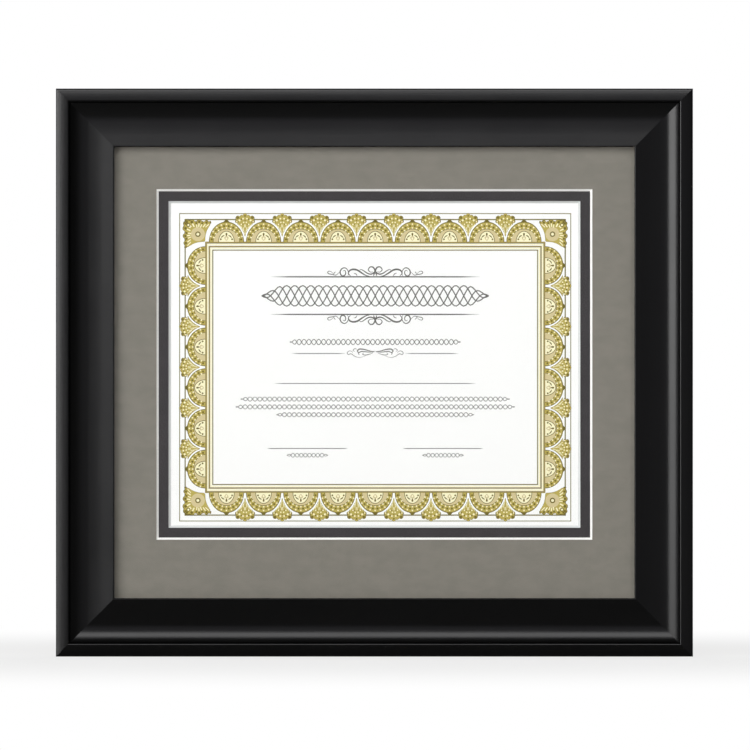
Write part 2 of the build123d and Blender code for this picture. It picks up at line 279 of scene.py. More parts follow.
def moulding_section():
    """The outline as (across, height) from the outer back corner, and how many points are lacquered."""
    nose_drop = NOSE_RADIUS * math.tan(math.radians(90 + SIGHT_SLOPE) / 2)
    points = [(MOULDING_WIDTH, RABBET_HEIGHT), (MOULDING_WIDTH, SIGHT_HEIGHT - nose_drop)]
    points += arc(points[-1], -NOSE_RADIUS, -90, SIGHT_SLOPE, FINE_STEPS)
    across, height = points[-1]
    for run in STRAIGHT_RUNS:
        points.append((across - run, height - run * math.tan(math.radians(SIGHT_SLOPE))))
    points += arc(points[-1], SLOPE_RADIUS, SIGHT_SLOPE, SCOOP_FAR_SLOPE, SLOPE_STEPS)
    points += arc(points[-1], SCOOP_RADIUS, SCOOP_FAR_SLOPE, SCOOP_NEAR_SLOPE, SCOOP_STEPS)
    quirk_slope = -math.degrees(math.atan2(QUIRK_RISE, QUIRK_RUN))
    arris_start = ARRIS_RADIUS * math.tan(math.radians(LIP_INNER_SLOPE - quirk_slope) / 2)
    quirk_share = 1 - arris_start / math.hypot(QUIRK_RUN, QUIRK_RISE)
    foot = points[-1]
    points.append((foot[0] - quirk_share * QUIRK_RUN, foot[1] + quirk_share * QUIRK_RISE))
    points += arc(points[-1], -ARRIS_RADIUS, quirk_slope, LIP_INNER_SLOPE, FINE_STEPS)
    slopes = [math.sin(math.radians(slope)) for slope in (LIP_INNER_SLOPE, LIP_OUTER_SLOPE)]
    edge_run = EDGE_RADIUS * (1 - slopes[1])
    lip_radius = (points[-1][0] - edge_run) / (slopes[1] - slopes[0])
    points += arc(points[-1], -lip_radius, LIP_INNER_SLOPE, LIP_OUTER_SLOPE, LIP_STEPS)
    points += arc(points[-1], -EDGE_RADIUS, LIP_OUTER_SLOPE, 90, FINE_STEPS)
    points += [(0, BACK_CHAMFER), (BACK_CHAMFER, 0)]
    lacquered = len(points) - 1
    rabbet = MOULDING_WIDTH - RABBET_WIDTH
    points += [(rabbet - BACK_CHAMFER, 0), (rabbet, BACK_CHAMFER), (rabbet, RABBET_HEIGHT)]
    return points, lacquered


section, lacquered_points = moulding_section()
section_top = max(height for _, height in section)
print("section of", len(section), "points,", round(section_top / MM, 3), "mm high; the CAD lip is",
      round((back_y - cad_low.y) / MM, 3))

# %% [markdown]
# Steel V-nails are pressed into the mitres from behind, and screws go into the back, so the wood has slots
# and holes for them. A Boolean modifier cuts these with copies of the fasteners themselves. The V-nails end
# flush with the back, and two faces in one plane confuse a cut, so the copies reach a little past it.

# %% The shape that cuts the fastener holes
FASTENERS = ("corner_v_nails", "turn_button_screws", "hanger_screws")
CUT_PAST_BACK = 1.0 * MM
SAME_POINT = 0.001 * MM
SAME_PLANE = 0.01 * MM
SHARP_ANGLE = math.radians(28)


def make_piece(name, shape, *materials):
    """Links a piece whose mesh is the shape, with these finishes."""
    mesh = bpy.data.meshes.new(name)
    shape.to_mesh(mesh)
    for material in materials:
        mesh.materials.append(material)
    piece = bpy.data.objects.new(name, mesh)
    bpy.context.scene.collection.objects.link(piece)
    return piece


def fastener_cutter():
    shape = bmesh.new()
    for node in FASTENERS:
        shape.from_mesh(frame["nodes"][node].data)
    bmesh.ops.remove_doubles(shape, verts=shape.verts, dist=SAME_POINT)
    for vertex in shape.verts:
        if abs(vertex.co.y - back_y) < SAME_PLANE:
            vertex.co.y += CUT_PAST_BACK
    return make_piece("fastener_cutter", shape, raw_wood)


def cut_out(piece, cutter):
    """Cuts the cutter's shape out of the piece, for good."""
    knife = piece.modifiers.new("cut", "BOOLEAN")
    knife.object = cutter
    knife.solver = "EXACT"
    drawn = piece.evaluated_get(bpy.context.evaluated_depsgraph_get())
    mesh = bpy.data.meshes.new_from_object(drawn)
    piece.modifiers.clear()
    piece.data = mesh


def smooth_by_angle(mesh):
    """Smooth shading with a crisp line wherever two faces meet at more than the sharp angle."""
    shape = bmesh.new()
    shape.from_mesh(mesh)
    for face in shape.faces:
        face.smooth = True
    for edge in shape.edges:
        edge.smooth = len(edge.link_faces) == 2 and edge.calc_face_angle() < SHARP_ANGLE
    shape.to_mesh(mesh)
    shape.free()


cutter = fastener_cutter()
print("cutter of", len(cutter.data.polygons), "faces")

# %% [markdown]
# The sweep has two rings of points, one on each mitre. The further in a point lies, the shorter its line, so
# both rings slant at 45 degrees by themselves. Each rail also carries a map of metres along the grain and
# round the section, which the two wood finishes read. A framer saws the four from one stick, so each map
# starts where the last one ended and no two rails share their grain.

# %% Sweep the four rails
def rail(node, along, inward, half_length, edge_distance, start):
    """A mitred length of the section. along and inward are unit vectors, start is a place on the stick."""
    centre = Vector((0, back_y, middle_z)) - inward * edge_distance
    forward = Vector((0, -1, 0))
    shape = bmesh.new()
    grain = shape.loops.layers.uv.new(GRAIN_MAP)
    rings = []
    for side in (-1, 1):
        rings.append([shape.verts.new(centre + along * side * (half_length - across) + inward * across
                                      + forward * height) for across, height in section])
    girth = 0.0
    for index in range(len(section)):
        after = (index + 1) % len(section)
        step = math.dist(section[index], section[after])
        face = shape.faces.new((rings[0][index], rings[1][index], rings[1][after], rings[0][after]))
        face.material_index = 0 if index < lacquered_points else 1
        for loop, around in zip(face.loops, (girth, girth, girth + step, girth + step)):
            loop[grain].uv = (start + half_length + (loop.vert.co - centre).dot(along), start + around)
        girth += step
    for ring in rings:
        shape.faces.new(ring).material_index = 1
    bmesh.ops.recalc_face_normals(shape, faces=shape.faces)
    piece = make_piece(node + "_wood", shape, lacquer, raw_wood)
    cut_out(piece, cutter)
    smooth_by_angle(piece.data)
    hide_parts(node)
    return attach(piece, BODY)


right, up = Vector((1, 0, 0)), Vector((0, 0, 1))
rails = (
    ("top_rail", right, -up, half_width, half_height),
    ("left_stile", up, right, half_height, half_width),
    ("bottom_rail", right, up, half_width, half_height),
    ("right_stile", up, -right, half_height, half_width),
)
cut_from_stick = 0.0
for node, along, inward, half_length, edge_distance in rails:
    piece = rail(node, along, inward, half_length, edge_distance, cut_from_stick)
    cut_from_stick += 2 * half_length
    print(piece.name, len(piece.data.polygons), "faces")
bpy.data.objects.remove(cutter)

# %% [markdown]
# ## Mats
# Matboard is a white core between two papers. The window is cut at 45 degrees, so its bevel shows the core
# as a pale line. On the lower mat that core is painted light grey, as painted shade on its bevel. One finish
# serves for both: where the surface slants, it is core, and elsewhere it is face paper. The object's own
# normal tells the two apart. Fine fibres and slow clouds of tone keep the paper from looking like plastic.

# %% Matboard
def matboard(name, light, dark, core_light, core_dark):
    finish = Finish(name, Roughness=0.92, Specular_IOR_Level=0.12)
    fibres = finish.noise(finish.place(), 1500.0, detail=4.0, roughness=0.65)
    clouds = finish.noise(finish.place((1, 1, 1.6)), 75.0, detail=5.0, roughness=0.6)
    fine = finish.maths("MULTIPLY", fibres, 0.45)
    slow = finish.maths("MULTIPLY", clouds, 0.55)
    paper = finish.mix(finish.rise(finish.maths("ADD", fine, slow), 0.36, 0.64), dark, light)
    _, facing, _ = finish.axes(finish.place(source="Normal"))
    core = finish.rise(finish.maths("ABSOLUTE", facing), 0.82, 0.9, 1.0, 0.0)
    core_paper = finish.mix(fibres, core_dark, core_light)
    finish.set("Base Color", finish.mix(core, paper, core_paper))
    finish.set("Normal", finish.bump(fibres, 0.05 * MM, 0.35))
    return finish.material


def dress(node, material):
    """Gives a CAD node this finish."""
    slots = frame["nodes"][node].data.materials
    slots.clear()
    slots.append(material)


top_core = paint(255, 254, 252), paint(251, 250, 247)
dress("top_mat", matboard("grey_matboard", paint(132, 128, 120), paint(124, 121, 113), *top_core))
# The lower mat's core is painted light grey, as painted shade on its bevel.
bottom_core_painted_shade = paint(219, 221, 221), paint(209, 211, 211)
dress("bottom_mat", matboard("charcoal_matboard", paint(66, 63, 65), paint(61, 59, 60), *bottom_core_painted_shade))
print("mats dressed")

# %% [markdown]
# ## Paper, boards and tapes
# Most of what lies behind the mats is paper of one sort or another: the sheet, its gummed hinges, the mount
# board and the foam board's liner. One recipe covers them all, with two close tones and the size of the
# fibre as its settings. The linen tape has a weave instead, made by crossing two sets of fine bands.

# %% Paper goods
def paper_goods(name, light, dark, fibre, relief=0.02, detail=4.0, dullness=0.88, sheen=0.15):
    finish = Finish(name, Roughness=dullness, Specular_IOR_Level=sheen)
    fibres = finish.noise(finish.place(), 1.0 / fibre, detail=detail, roughness=0.6)
    finish.set("Base Color", finish.mix(finish.rise(fibres, 0.3, 0.7), dark, light))
    finish.set("Normal", finish.bump(fibres, relief * MM, 0.3))
    return finish.material


def woven_tape(name, light, dark, pitch):
    finish = Finish(name, Roughness=0.9, Specular_IOR_Level=0.2)
    weave = finish.maths("MAXIMUM", *finish.crossed_bands(pitch))
    finish.set("Base Color", finish.mix(weave, dark, light))
    finish.set("Normal", finish.bump(weave, 0.05 * MM, 0.5))
    return finish.material


dress("certificate", paper_goods("certificate_paper", paint(251, 251, 250), paint(247, 247, 246), 0.7 * MM))
dress("certificate_hinges", paper_goods("gummed_tape", paint(236, 232, 219), paint(222, 217, 202), 1.2 * MM))
dress("mat_bond_tape", paper_goods("bond_tape", paint(224, 214, 186), paint(212, 201, 170), 2.5 * MM))
dress("mount_board", paper_goods("mount_board", paint(240, 240, 236), paint(230, 230, 225), 0.9 * MM))
dress("filler_board", paper_goods("foam_board", paint(243, 243, 241), paint(232, 232, 229), 1.6 * MM))
dress("mat_hinge_tape", woven_tape("linen_tape", paint(233, 229, 216), paint(202, 196, 180), 0.5 * MM))
print("paper goods dressed")

# %% [markdown]
# ## Hardboard
# The backing is pressed wood fibre. It is dried on a wire screen, so its back has a fine woven print and its
# brown is flecked with lighter and darker fibres. Two sets of bands at right angles make the print, and the
# flecks come from a coarse and a fine noise. The grooves of the print are sunk by a bump and also painted
# darker, as painted shade.

# %% Hardboard backing
SCREEN_PITCH = 1.7 * MM


def hardboard():
    finish = Finish("hardboard", Specular_IOR_Level=0.25)
    flecks = finish.noise(finish.place(), 900.0, detail=6.0, roughness=0.75)
    clouds = finish.noise(finish.place(), 28.0, detail=4.0)
    brown = finish.mix(finish.rise(clouds, 0.3, 0.7), paint(119, 82, 50), paint(126, 88, 54))
    brown = finish.mix(finish.rise(flecks, 0.52, 0.72, 0.0, 0.7), brown, paint(168, 128, 86))
    brown = finish.mix(finish.rise(flecks, 0.46, 0.28, 0.0, 0.7), brown, paint(70, 45, 27))
    print_depth = finish.maths("MULTIPLY", *finish.crossed_bands(SCREEN_PITCH))
    # The grooves of the print are painted darker brown: painted shade.
    painted_groove_shade = finish.maths("MULTIPLY", print_depth, 0.35)
    finish.set("Base Color", finish.mix(painted_groove_shade, brown, paint(78, 52, 32)))
    finish.set("Roughness", finish.rise(flecks, 0.3, 0.7, 0.6, 0.82))
    finish.set("Normal", finish.bump(print_depth, -0.12 * MM, 0.6))
    return finish.material


dress("backing_panel", hardboard())
print("backing dressed")

# %% [markdown]
# ## Metal hardware
# Zinc plate is a dull grey with a soft spangle, and the brass plate of the hanger is warmer and brighter.
# Both are metals, so their colour is the colour of their mirror, and what changes over the surface is mostly
# the roughness. A drawn-out noise leaves the fine lines of the rolled strip.

# %% Plated metals
def plated_metal(name, bright, dull, smooth, rough):
    finish = Finish(name, Metallic=1.0)
    spangle = finish.noise(finish.place(), 420.0, detail=3.0)
    rolled = finish.noise(finish.place((240, 240, 6000)), 1.0, detail=2.0)
    blend = finish.maths("MULTIPLY", finish.maths("ADD", spangle, rolled), 0.5)
    finish.set("Base Color", finish.mix(finish.rise(blend, 0.35, 0.65), dull, bright))
    finish.set("Roughness", finish.rise(blend, 0.35, 0.65, smooth, rough))
    finish.set("Normal", finish.bump(rolled, 0.01 * MM, 0.25))
    return finish.material


zinc = plated_metal("zinc_steel", paint(206, 208, 211), paint(172, 175, 180), 0.28, 0.46)
brass = plated_metal("brass_plate", paint(226, 190, 116), paint(196, 156, 84), 0.22, 0.38)
dress("corner_v_nails", zinc)
dress("sawtooth_hanger", brass)
for node in frame["nodes"]:
    if node.startswith("turn_button_") and node != "turn_button_screws":
        dress(node, zinc)
print("metal dressed")

# %% [markdown]
# ## Screws
# Each screw has a domed pan head with a cross recess. The CAD screw is plain and coarse, so a finer one is
# turned from a half outline, as on a lathe, and a tapered cross is cut into its head. A fitter never lines
# the crosses up, so each copy is turned by another step of the golden angle.

# %% Turn and copy the screws
LATHE_STEPS = 40
GOLDEN_ANGLE = math.radians(137.5)
DOME_STEPS = 9
RIM_SHARE = 0.42
RECESS_REACH = 0.56
RECESS_BLADE = 0.12
RECESS_DEPTH = 0.5
RECESS_TAPER = 1.35, 0.5


def lathe(outline):
    """A solid of revolution about Y, from (radius, height) points that start and end on the axis."""
    shape = bmesh.new()
    rings = []
    for radius, height in outline:
        steps = LATHE_STEPS if radius > 0 else 1
        rings.append([shape.verts.new((radius * math.cos(math.tau * step / LATHE_STEPS), height,
                                       radius * math.sin(math.tau * step / LATHE_STEPS)))
                      for step in range(steps)])
    for lower, upper in zip(rings, rings[1:]):
        for step in range(LATHE_STEPS):
            corners = []
            for ring, place in ((lower, step), (lower, step + 1), (upper, step + 1), (upper, step)):
                corner = ring[place % len(ring)]
                if corner not in corners:
                    corners.append(corner)
            shape.faces.new(corners)
    bmesh.ops.recalc_face_normals(shape, faces=shape.faces)
    return shape


def cross_recess(reach, blade, depth, top):
    """A tapered cross that cuts the driver recess, from above the head down to its depth."""
    shape = bmesh.new()
    outline = []
    for quarter in range(4):
        turn = Matrix.Rotation(quarter * math.pi / 2, 2)
        outline += [turn @ Vector(corner) for corner in ((reach, -blade), (reach, blade), (blade, blade))]
    rings = []
    for height, share in zip((top + depth, top - depth), RECESS_TAPER):
        rings.append([shape.verts.new((share * x, height, share * y)) for x, y in outline])
    for index in range(len(outline)):
        after = (index + 1) % len(outline)
        shape.faces.new((rings[0][index], rings[0][after], rings[1][after], rings[1][index]))
    for ring in rings:
        shape.faces.new(ring)
    bmesh.ops.recalc_face_normals(shape, faces=shape.faces)
    return shape


def copies(name, shape, places, material, turn=0.0):
    """One piece with a copy of the shape at each place, each turned a step further about Y."""
    together = bmesh.new()
    for index, place in enumerate(places):
        copy = shape.copy()
        matrix = Matrix.Translation(place) @ Matrix.Rotation(index * turn, 4, "Y")
        bmesh.ops.transform(copy, matrix=matrix, verts=copy.verts)
        part = bpy.data.meshes.new("part")
        copy.to_mesh(part)
        together.from_mesh(part)
        bpy.data.meshes.remove(part)
    piece = make_piece(name, together, material)
    smooth_by_angle(piece.data)
    return piece


def pan_head_screws(node, head_radius, head_height, shank_radius, places, material, slot):
    tip_y, top_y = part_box(node)[0].y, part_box(node)[1].y
    seat = top_y - head_height
    rim = seat + RIM_SHARE * head_height
    outline = [(0, top_y)]
    for step in range(1, DOME_STEPS):
        turn = math.radians(90 * step / DOME_STEPS)
        outline.append((head_radius * math.sin(turn), rim + (top_y - rim) * math.cos(turn)))
    outline += [(head_radius, rim), (head_radius, seat), (shank_radius, seat)]
    outline += [(shank_radius, tip_y + shank_radius), (0, tip_y)]
    sizes = RECESS_REACH * head_radius, RECESS_BLADE * head_radius, RECESS_DEPTH * head_height
    screw = make_piece("screw", lathe(outline))
    tool = make_piece("recess", cross_recess(*sizes, top_y))
    cut_out(screw, tool)
    shape = bmesh.new()
    shape.from_mesh(screw.data)
    bpy.data.objects.remove(screw)
    bpy.data.objects.remove(tool)
    piece = copies(node + "_turned", shape, places, material, GOLDEN_ANGLE)
    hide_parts(node)
    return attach(piece, BODY)


def pair_places(node, radius):
    """The two middles, left and right, of a node that holds two round pieces side by side."""
    low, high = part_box(node)
    height = (low.z + high.z) / 2
    return [Vector((low.x + radius, 0, height)), Vector((high.x - radius, 0, height))]


BUTTON_SCREW = 3.2 * MM, 1.9 * MM, 1.45 * MM
HANGER_SCREW = 2.6 * MM, 1.6 * MM, 1.2 * MM
pivots = [Vector((joint["pos_m"][0], 0, joint["pos_m"][2])) for joint in frame["joints"]]
button_screws = pan_head_screws("turn_button_screws", *BUTTON_SCREW, pivots, zinc, "zinc_steel")
hanger_places = pair_places("hanger_screws", HANGER_SCREW[0])
hanger_screws = pan_head_screws("hanger_screws", *HANGER_SCREW, hanger_places, brass, "brass_plate")
for piece in (button_screws, hanger_screws):
    print(piece.name, len(piece.data.polygons), "faces")

# %% [markdown]
# ## Wall bumpers
# Two rubber bumpers keep the bottom of the frame off the wall. They are moulded with a slightly smaller top
# and a rounded rim, so they are turned on the same lathe. Rubber is nearly black, dull, and a little grainy.

# %% Rubber bumpers
BUMPER_RADIUS = 6.0 * MM
BUMPER_TOP_RADIUS = 4.8 * MM
BUMPER_RIM = 0.9 * MM
RIM_STEPS = 8


def bumper_rubber():
    finish = Finish("bumper_rubber", Specular_IOR_Level=0.35)
    grains = finish.noise(finish.place(), 2600.0, detail=2.0)
    finish.set("Base Color", finish.mix(grains, paint(26, 26, 27), paint(40, 40, 41)))
    finish.set("Roughness", finish.rise(grains, 0.3, 0.7, 0.6, 0.8))
    finish.set("Normal", finish.bump(grains, 0.03 * MM, 0.4))
    return finish.material


def bumpers():
    foot_y, top_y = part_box("wall_bumpers")[0].y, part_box("wall_bumpers")[1].y
    outline = [(0, foot_y), (BUMPER_RADIUS, foot_y)]
    for step in range(RIM_STEPS + 1):
        turn = math.radians(90 * step / RIM_STEPS)
        outline.append((BUMPER_TOP_RADIUS - BUMPER_RIM * (1 - math.cos(turn)),
                        top_y - BUMPER_RIM * (1 - math.sin(turn))))
    outline.append((0, top_y))
    places = pair_places("wall_bumpers", BUMPER_RADIUS)
    piece = copies("wall_bumpers_moulded", lathe(outline), places, bumper_rubber())
    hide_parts("wall_bumpers")
    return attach(piece, BODY)


print(bumpers().name, "made")

# %% [markdown]
# ## Glass
# A pane this thin bends light too little to see. What it does show is a faint mirror that grows stronger at
# a slant, so its front mixes a clear shader with a glossy one by how slanted the view is, and its back is
# clear. Light passes through a clear shader, so the mats and the sheet behind are lit as if the pane were
# open. The pane rests on the upper mat, and a renderer cannot tell which of two faces in one plane comes
# first, so this pane is a hair thinner and leaves a thin film of air. Its edges are seamed, as a glazier
# leaves them.

# %% Picture glass
AIR_FILM = 0.05 * MM
SEAM = 0.3 * MM
GLASS_TINT = 0.997, 0.998, 0.997, 1.0
COATED_IOR = 1.22


def glass_parts(wiring):
    film = wiring.noise(wiring.place(), 6.0)
    clear = wiring.add("BsdfTransparent", {"Color": GLASS_TINT}).outputs[0]
    mirror = wiring.add("BsdfGlossy", {"Roughness": wiring.rise(film, 0.3, 0.7, 0.02, 0.05)}).outputs[0]
    fresnel = wiring.add("Fresnel", {"IOR": COATED_IOR}).outputs[0]
    behind = wiring.add("NewGeometry").outputs["Backfacing"]
    share = wiring.maths("MULTIPLY", fresnel, wiring.maths("SUBTRACT", 1.0, behind))
    return share, clear, mirror


def pane():
    low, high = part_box("glazing")
    high = high - Vector((0, AIR_FILM, 0))
    matrix = Matrix.Translation((low + high) / 2) @ Matrix.Diagonal(high - low).to_4x4()
    shape = bmesh.new()
    bmesh.ops.create_cube(shape, matrix=matrix)
    bmesh.ops.bevel(shape, geom=shape.edges, offset=SEAM, segments=1, affect="EDGES")
    piece = make_piece("glazing_pane", shape, two_part_material("picture_glass", glass_parts))
    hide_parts("glazing")
    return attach(piece, BODY)


print(pane().name, "made")

# %% [markdown]
# ## Ink
# The border is printed in a few flat inks, one over another. Each ink is a thin closed mesh, so it stays
# sharp at any size, and each layer stands a hair higher than the one below, as ink does. A patch is a filled
# outline, a stroke is a line with a width, and both are drawn in millimetres about the print's middle. The
# recipe for paper serves for the inks too, with a finer speckle and more sheen.

# %% Tools for printing
INK_LAYER = 0.006
SPECKLE = MM / 2.4
PRINT_DROP = 1.9
PRINT_RIGHT = 0.5
sheet_low, sheet_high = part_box("certificate")
print_z = (sheet_low.z + sheet_high.z) / 2 - PRINT_DROP * MM


class Ink:
    """Shapes of one ink, gathered into one mesh. Points are (x, z) in millimetres."""

    def __init__(self, name, light, dark):
        self.name = name
        look = {"relief": 0.004, "detail": 3.0, "dullness": 0.5, "sheen": 0.25}
        self.material = paper_goods(name, paint(*light), paint(*dark), SPECKLE, **look)
        self.shape = bmesh.new()

    def corner(self, point, height):
        x, z = point
        return self.shape.verts.new(((x + PRINT_RIGHT) * MM, sheet_low.y - height * MM, print_z + z * MM))

    def patch(self, outline, layer):
        top = [self.corner(point, layer * INK_LAYER) for point in outline]
        foot = [self.corner(point, -INK_LAYER) for point in outline]
        self.shape.faces.new(top)
        self.shape.faces.new(foot[::-1])
        for index in range(len(outline)):
            after = (index + 1) % len(outline)
            self.shape.faces.new((top[index], foot[index], foot[after], top[after]))

    def dot(self, middle, radius, layer, sides=10):
        self.patch(sweep(middle, radius, 0, 360 - 360 / sides, sides - 1), layer)

    def stroke(self, path, width, layer):
        """A line along path. width is one number, or a function of the share of the way along."""
        rows = []
        last = len(path) - 1
        for index, point in enumerate(path):
            run = Vector(path[min(index + 1, last)]) - Vector(path[max(index - 1, 0)])
            half = (width(index / last) if callable(width) else width) / 2
            side = Vector((-run.y, run.x)).normalized() * half
            edges = [Vector(point) + side, Vector(point) - side]
            rows.append([self.corner(edge, height) for height in (layer * INK_LAYER, -INK_LAYER)
                         for edge in edges])
        for first, second in zip(rows, rows[1:]):
            for a, b in ((0, 1), (1, 3), (3, 2), (2, 0)):
                self.shape.faces.new((first[a], first[b], second[b], second[a]))
        for row in (rows[0], rows[-1]):
            self.shape.faces.new((row[0], row[1], row[3], row[2]))

    def finish(self):
        bmesh.ops.recalc_face_normals(self.shape, faces=self.shape.faces)
        piece = make_piece(self.name, self.shape, self.material)
        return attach(piece, BODY)


def on_ring(wide, high, angle):
    turn = math.radians(angle)
    return wide * math.cos(turn), high * math.sin(turn)


def sweep(middle, radius, first, last, steps):
    """Points on an arc about middle, from first to last degrees. radius may be a function of the angle."""
    points = []
    for step in range(steps + 1):
        angle = first + (last - first) * step / steps
        reach = radius(angle) if callable(radius) else radius
        x, z = on_ring(reach, reach, angle)
        points.append((middle[0] + x, middle[1] + z))
    return points


gold = Ink("ink_gold", (130, 123, 66), (120, 113, 57))
bronze = Ink("ink_bronze", (155, 141, 82), (145, 131, 72))
straw = Ink("ink_straw", (190, 174, 90), (180, 163, 79))
tan = Ink("ink_tan", (215, 200, 153), (207, 192, 145))
cream = Ink("ink_cream", (249, 244, 208), (244, 238, 199))
olive = Ink("ink_olive", (120, 107, 34), (108, 96, 27))
grey = Ink("ink_grey", (104, 103, 99), (95, 94, 91))
print("seven inks, sheet face at", round(sheet_low.y / MM, 3), "mm")

# %% [markdown]
# ## The frame lines of the border
# Five plain rules run round the sheet: two thin ones outside, a heavy one that the scallops stand on, and
# two more inside it with a pale line in each space. Each is four bars round a rectangle, mitred like the
# frame.

# %% Rules round the sheet
OUTER_RULE = 127.5, 100.2
SECOND_RULE = 123.9, 96.35
BASE_RULE = 110.3, 81.3
INNER_RULE = 108.1, 78.7
INMOST_RULE = 105.9, 76.4
PALE_LINE = 0.88
CORNER_SIGNS = (1, 1), (-1, 1), (-1, -1), (1, -1)


def ruled_box(ink, half_wide, half_high, width):
    """Four mitred bars round a rectangle, on the lowest layer."""
    for start, end in zip(CORNER_SIGNS, CORNER_SIGNS[1:] + CORNER_SIGNS[:1]):
        bar = []
        for grow, ends in ((width / 2, (start, end)), (-width / 2, (end, start))):
            bar += [(x * (half_wide + grow), z * (half_high + grow)) for x, z in ends]
        ink.patch(bar, layer=1)


rules = (
    (gold, OUTER_RULE, 0.55), (gold, SECOND_RULE, 0.8), (bronze, BASE_RULE, 1.3), (bronze, INNER_RULE, 1.0),
    (gold, INMOST_RULE, 0.7),
)
for ink, half_size, width in rules:
    ruled_box(ink, *half_size, width)
for outer_rule, inner_rule in ((BASE_RULE, INNER_RULE), (INNER_RULE, INMOST_RULE)):
    ruled_box(cream, *((a + b) / 2 for a, b in zip(outer_rule, inner_rule)), PALE_LINE)
print(len(rules), "rules drawn")

# %% [markdown]
# ## Scallops
# Scallops stand side by side on the heavy rule. Each is half a rosette: a thin outline, a ring of dark beads
# with a pair of pearls between them, a plain band, and a little shell that holds a lily and three leaves.
# Stacked half ellipses give the rings, since each smaller one leaves a line of the one below. The scallop is
# drawn once, in shares of its width and height, and a spot function turns steps along and out from a side
# into places on the sheet.

# %% Draw one scallop
FOOT_STEP = 0.5
SCALLOP_FOOT = [half_size + FOOT_STEP for half_size in BASE_RULE]
SCALLOP_GAP = 0.7
SCALLOP_RISE = 0.905
OUTLINE = 0.55
LINE_WIDTH = 0.42
HALF_STEPS = 36
BEADS = 10
BEAD_RADIUS = 0.7
BEAD_RING = 0.85, 0.79
PEARL_RADIUS = 0.54
PEARL_RINGS = (0.755, 0.69), (0.94, 0.875)
BAND = 0.74, 0.62
SHELL = 4.9, 6.7
LILY = (tan, 2.2, 2.9, 2.6), (cream, 2.1, 1.7, 1.1), (olive, 4.7, 2.4, 1.1)
DROP_STEPS = 12
DROP_SWELL = 0.5
SHELL_DOT = 3.7, 1.7
DOT_RADIUS = 0.6
LEAF_MIDDLE = 0, 0.4
LEAF_RADIUS = 4.1
LEAF_ANGLES = 18, 58
LEAF_STEPS = 5
LEAF_WIDTH = 0.75
PEN_TIP = 0.3
CAP_FOOT = 2.0
CAP_TIP = 0.5
CAP_SINK = 0.2


def pen(widest):
    """A width that swells from the ends of a stroke to its middle."""
    return lambda share: widest * (PEN_TIP + (1 - PEN_TIP) * math.sin(math.pi * share))


def half_disc(ink, spot, wide, high, layer):
    """Half an ellipse that stands on the rule."""
    angles = [180 * step / HALF_STEPS for step in range(HALF_STEPS + 1)]
    ink.patch([spot(*on_ring(wide, high, angle)) for angle in angles], layer)


def lined_disc(ink, spot, wide, high, line, layer):
    """Half an ellipse with a dark line round it."""
    half_disc(olive, spot, wide + line, high + line, layer)
    half_disc(ink, spot, wide, high, layer + 1)


def drop(ink, spot, height, length, width, layer):
    """A drop that points at the scallop's middle."""
    outline = []
    for step in range(DROP_STEPS):
        turn = math.tau * step / DROP_STEPS
        across = width / 2 * math.sin(turn) * (1 + DROP_SWELL * math.cos(turn))
        outline.append(spot(-across, height + length / 2 * math.cos(turn)))
    ink.patch(outline, layer)


def scallop_size(pitch, far):
    return pitch / 2 - SCALLOP_GAP, SCALLOP_RISE * far


def scallop(spot, pitch, far):
    """One scallop on its side of the sheet. far is how far out the next rule runs."""
    wide, high = scallop_size(pitch, far)
    lined_disc(straw, spot, wide - OUTLINE, high - OUTLINE, OUTLINE, layer=1)
    lined_disc(tan, spot, BAND[0] * wide, BAND[1] * high, LINE_WIDTH, layer=3)
    lined_disc(cream, spot, *SHELL, LINE_WIDTH, layer=5)
    for layer, (ink, height, length, width) in enumerate(LILY, 7):
        drop(ink, spot, height, length, width, layer)
    for side in (-1, 1):
        olive.dot(spot(side * SHELL_DOT[0], SHELL_DOT[1]), DOT_RADIUS, layer=9)
        first, last = (90 - side * angle for angle in LEAF_ANGLES)
        leaf = sweep(LEAF_MIDDLE, LEAF_RADIUS, first, last, LEAF_STEPS)
        olive.stroke([spot(*point) for point in leaf], pen(LEAF_WIDTH), layer=9)
    step = 180 / BEADS
    for bead in range(BEADS):
        place = on_ring(BEAD_RING[0] * wide, BEAD_RING[1] * high, step * (bead + 0.5))
        olive.dot(spot(*place), BEAD_RADIUS, layer=5)
    for bead in range(1, BEADS):
        for across, rise in PEARL_RINGS:
            place = on_ring(across * wide, rise * high, step * bead)
            cream.dot(spot(*place), PEARL_RADIUS, layer=5, sides=8)
    foot = high - CAP_SINK
    cap = [(-CAP_FOOT, foot), (CAP_FOOT, foot), (CAP_TIP, far), (-CAP_TIP, far)]
    olive.patch([spot(*point) for point in cap], layer=1)


print("scallop of", BEADS, "beads and", 2 * (BEADS - 1), "pearls")

# %% [markdown]
# ## Palmettes
# Between two scallops grows a palmette: a thin stem that widens into a fan with lobes, the middle one
# touching the outermost rule. Its lower edges follow the two scallops at an even gap. Its top is the outer
# edge of a row of circles, found by looking out from the fan's middle and taking the furthest circle in each
# direction. Pale ribs climb from the stem, and pale and dark spots fill the lobes.

# %% Draw one palmette
GAP = 0.95
STEM_FOOT = 3.6
STEM_HALF = 0.2
STEM_STEPS = 8
FAN_MIDDLE = 11.4
FAN_BODY = 0, 12.0, 4.9
FAN_SWEEP = 4, 176
FAN_FILL = 0.93, 0.96
LOBE_STEPS = 96
LOBES = (0, 17.5, 1.2), (2.1, 16.3, 1.25), (4.6, 15.4, 1.6), (5.3, 13.4, 1.2)
RIBS = (
    ((0.4, 5.0), (1.2, 9.6)), ((1.1, 7.2), (2.9, 10.6)), ((2.4, 8.8), (4.4, 11.6)),
    ((0.3, 9.4), (0.4, 11.4)),
)
RIB_WIDTH = 0.36
PALE_SPOTS = (1.25, 15.1, 0.6), (0.9, 12.7, 0.5), (3.6, 14.0, 0.7), (2.4, 11.4, 0.5), (5.3, 13.1, 0.45)
DARK_SPOTS = (
    (0, 16.9, 0.6), (0, 14.0, 0.4), (2.4, 14.7, 0.5), (4.5, 13.0, 0.45), (1.5, 11.4, 0.35),
    (4.7, 15.7, 0.9),
)


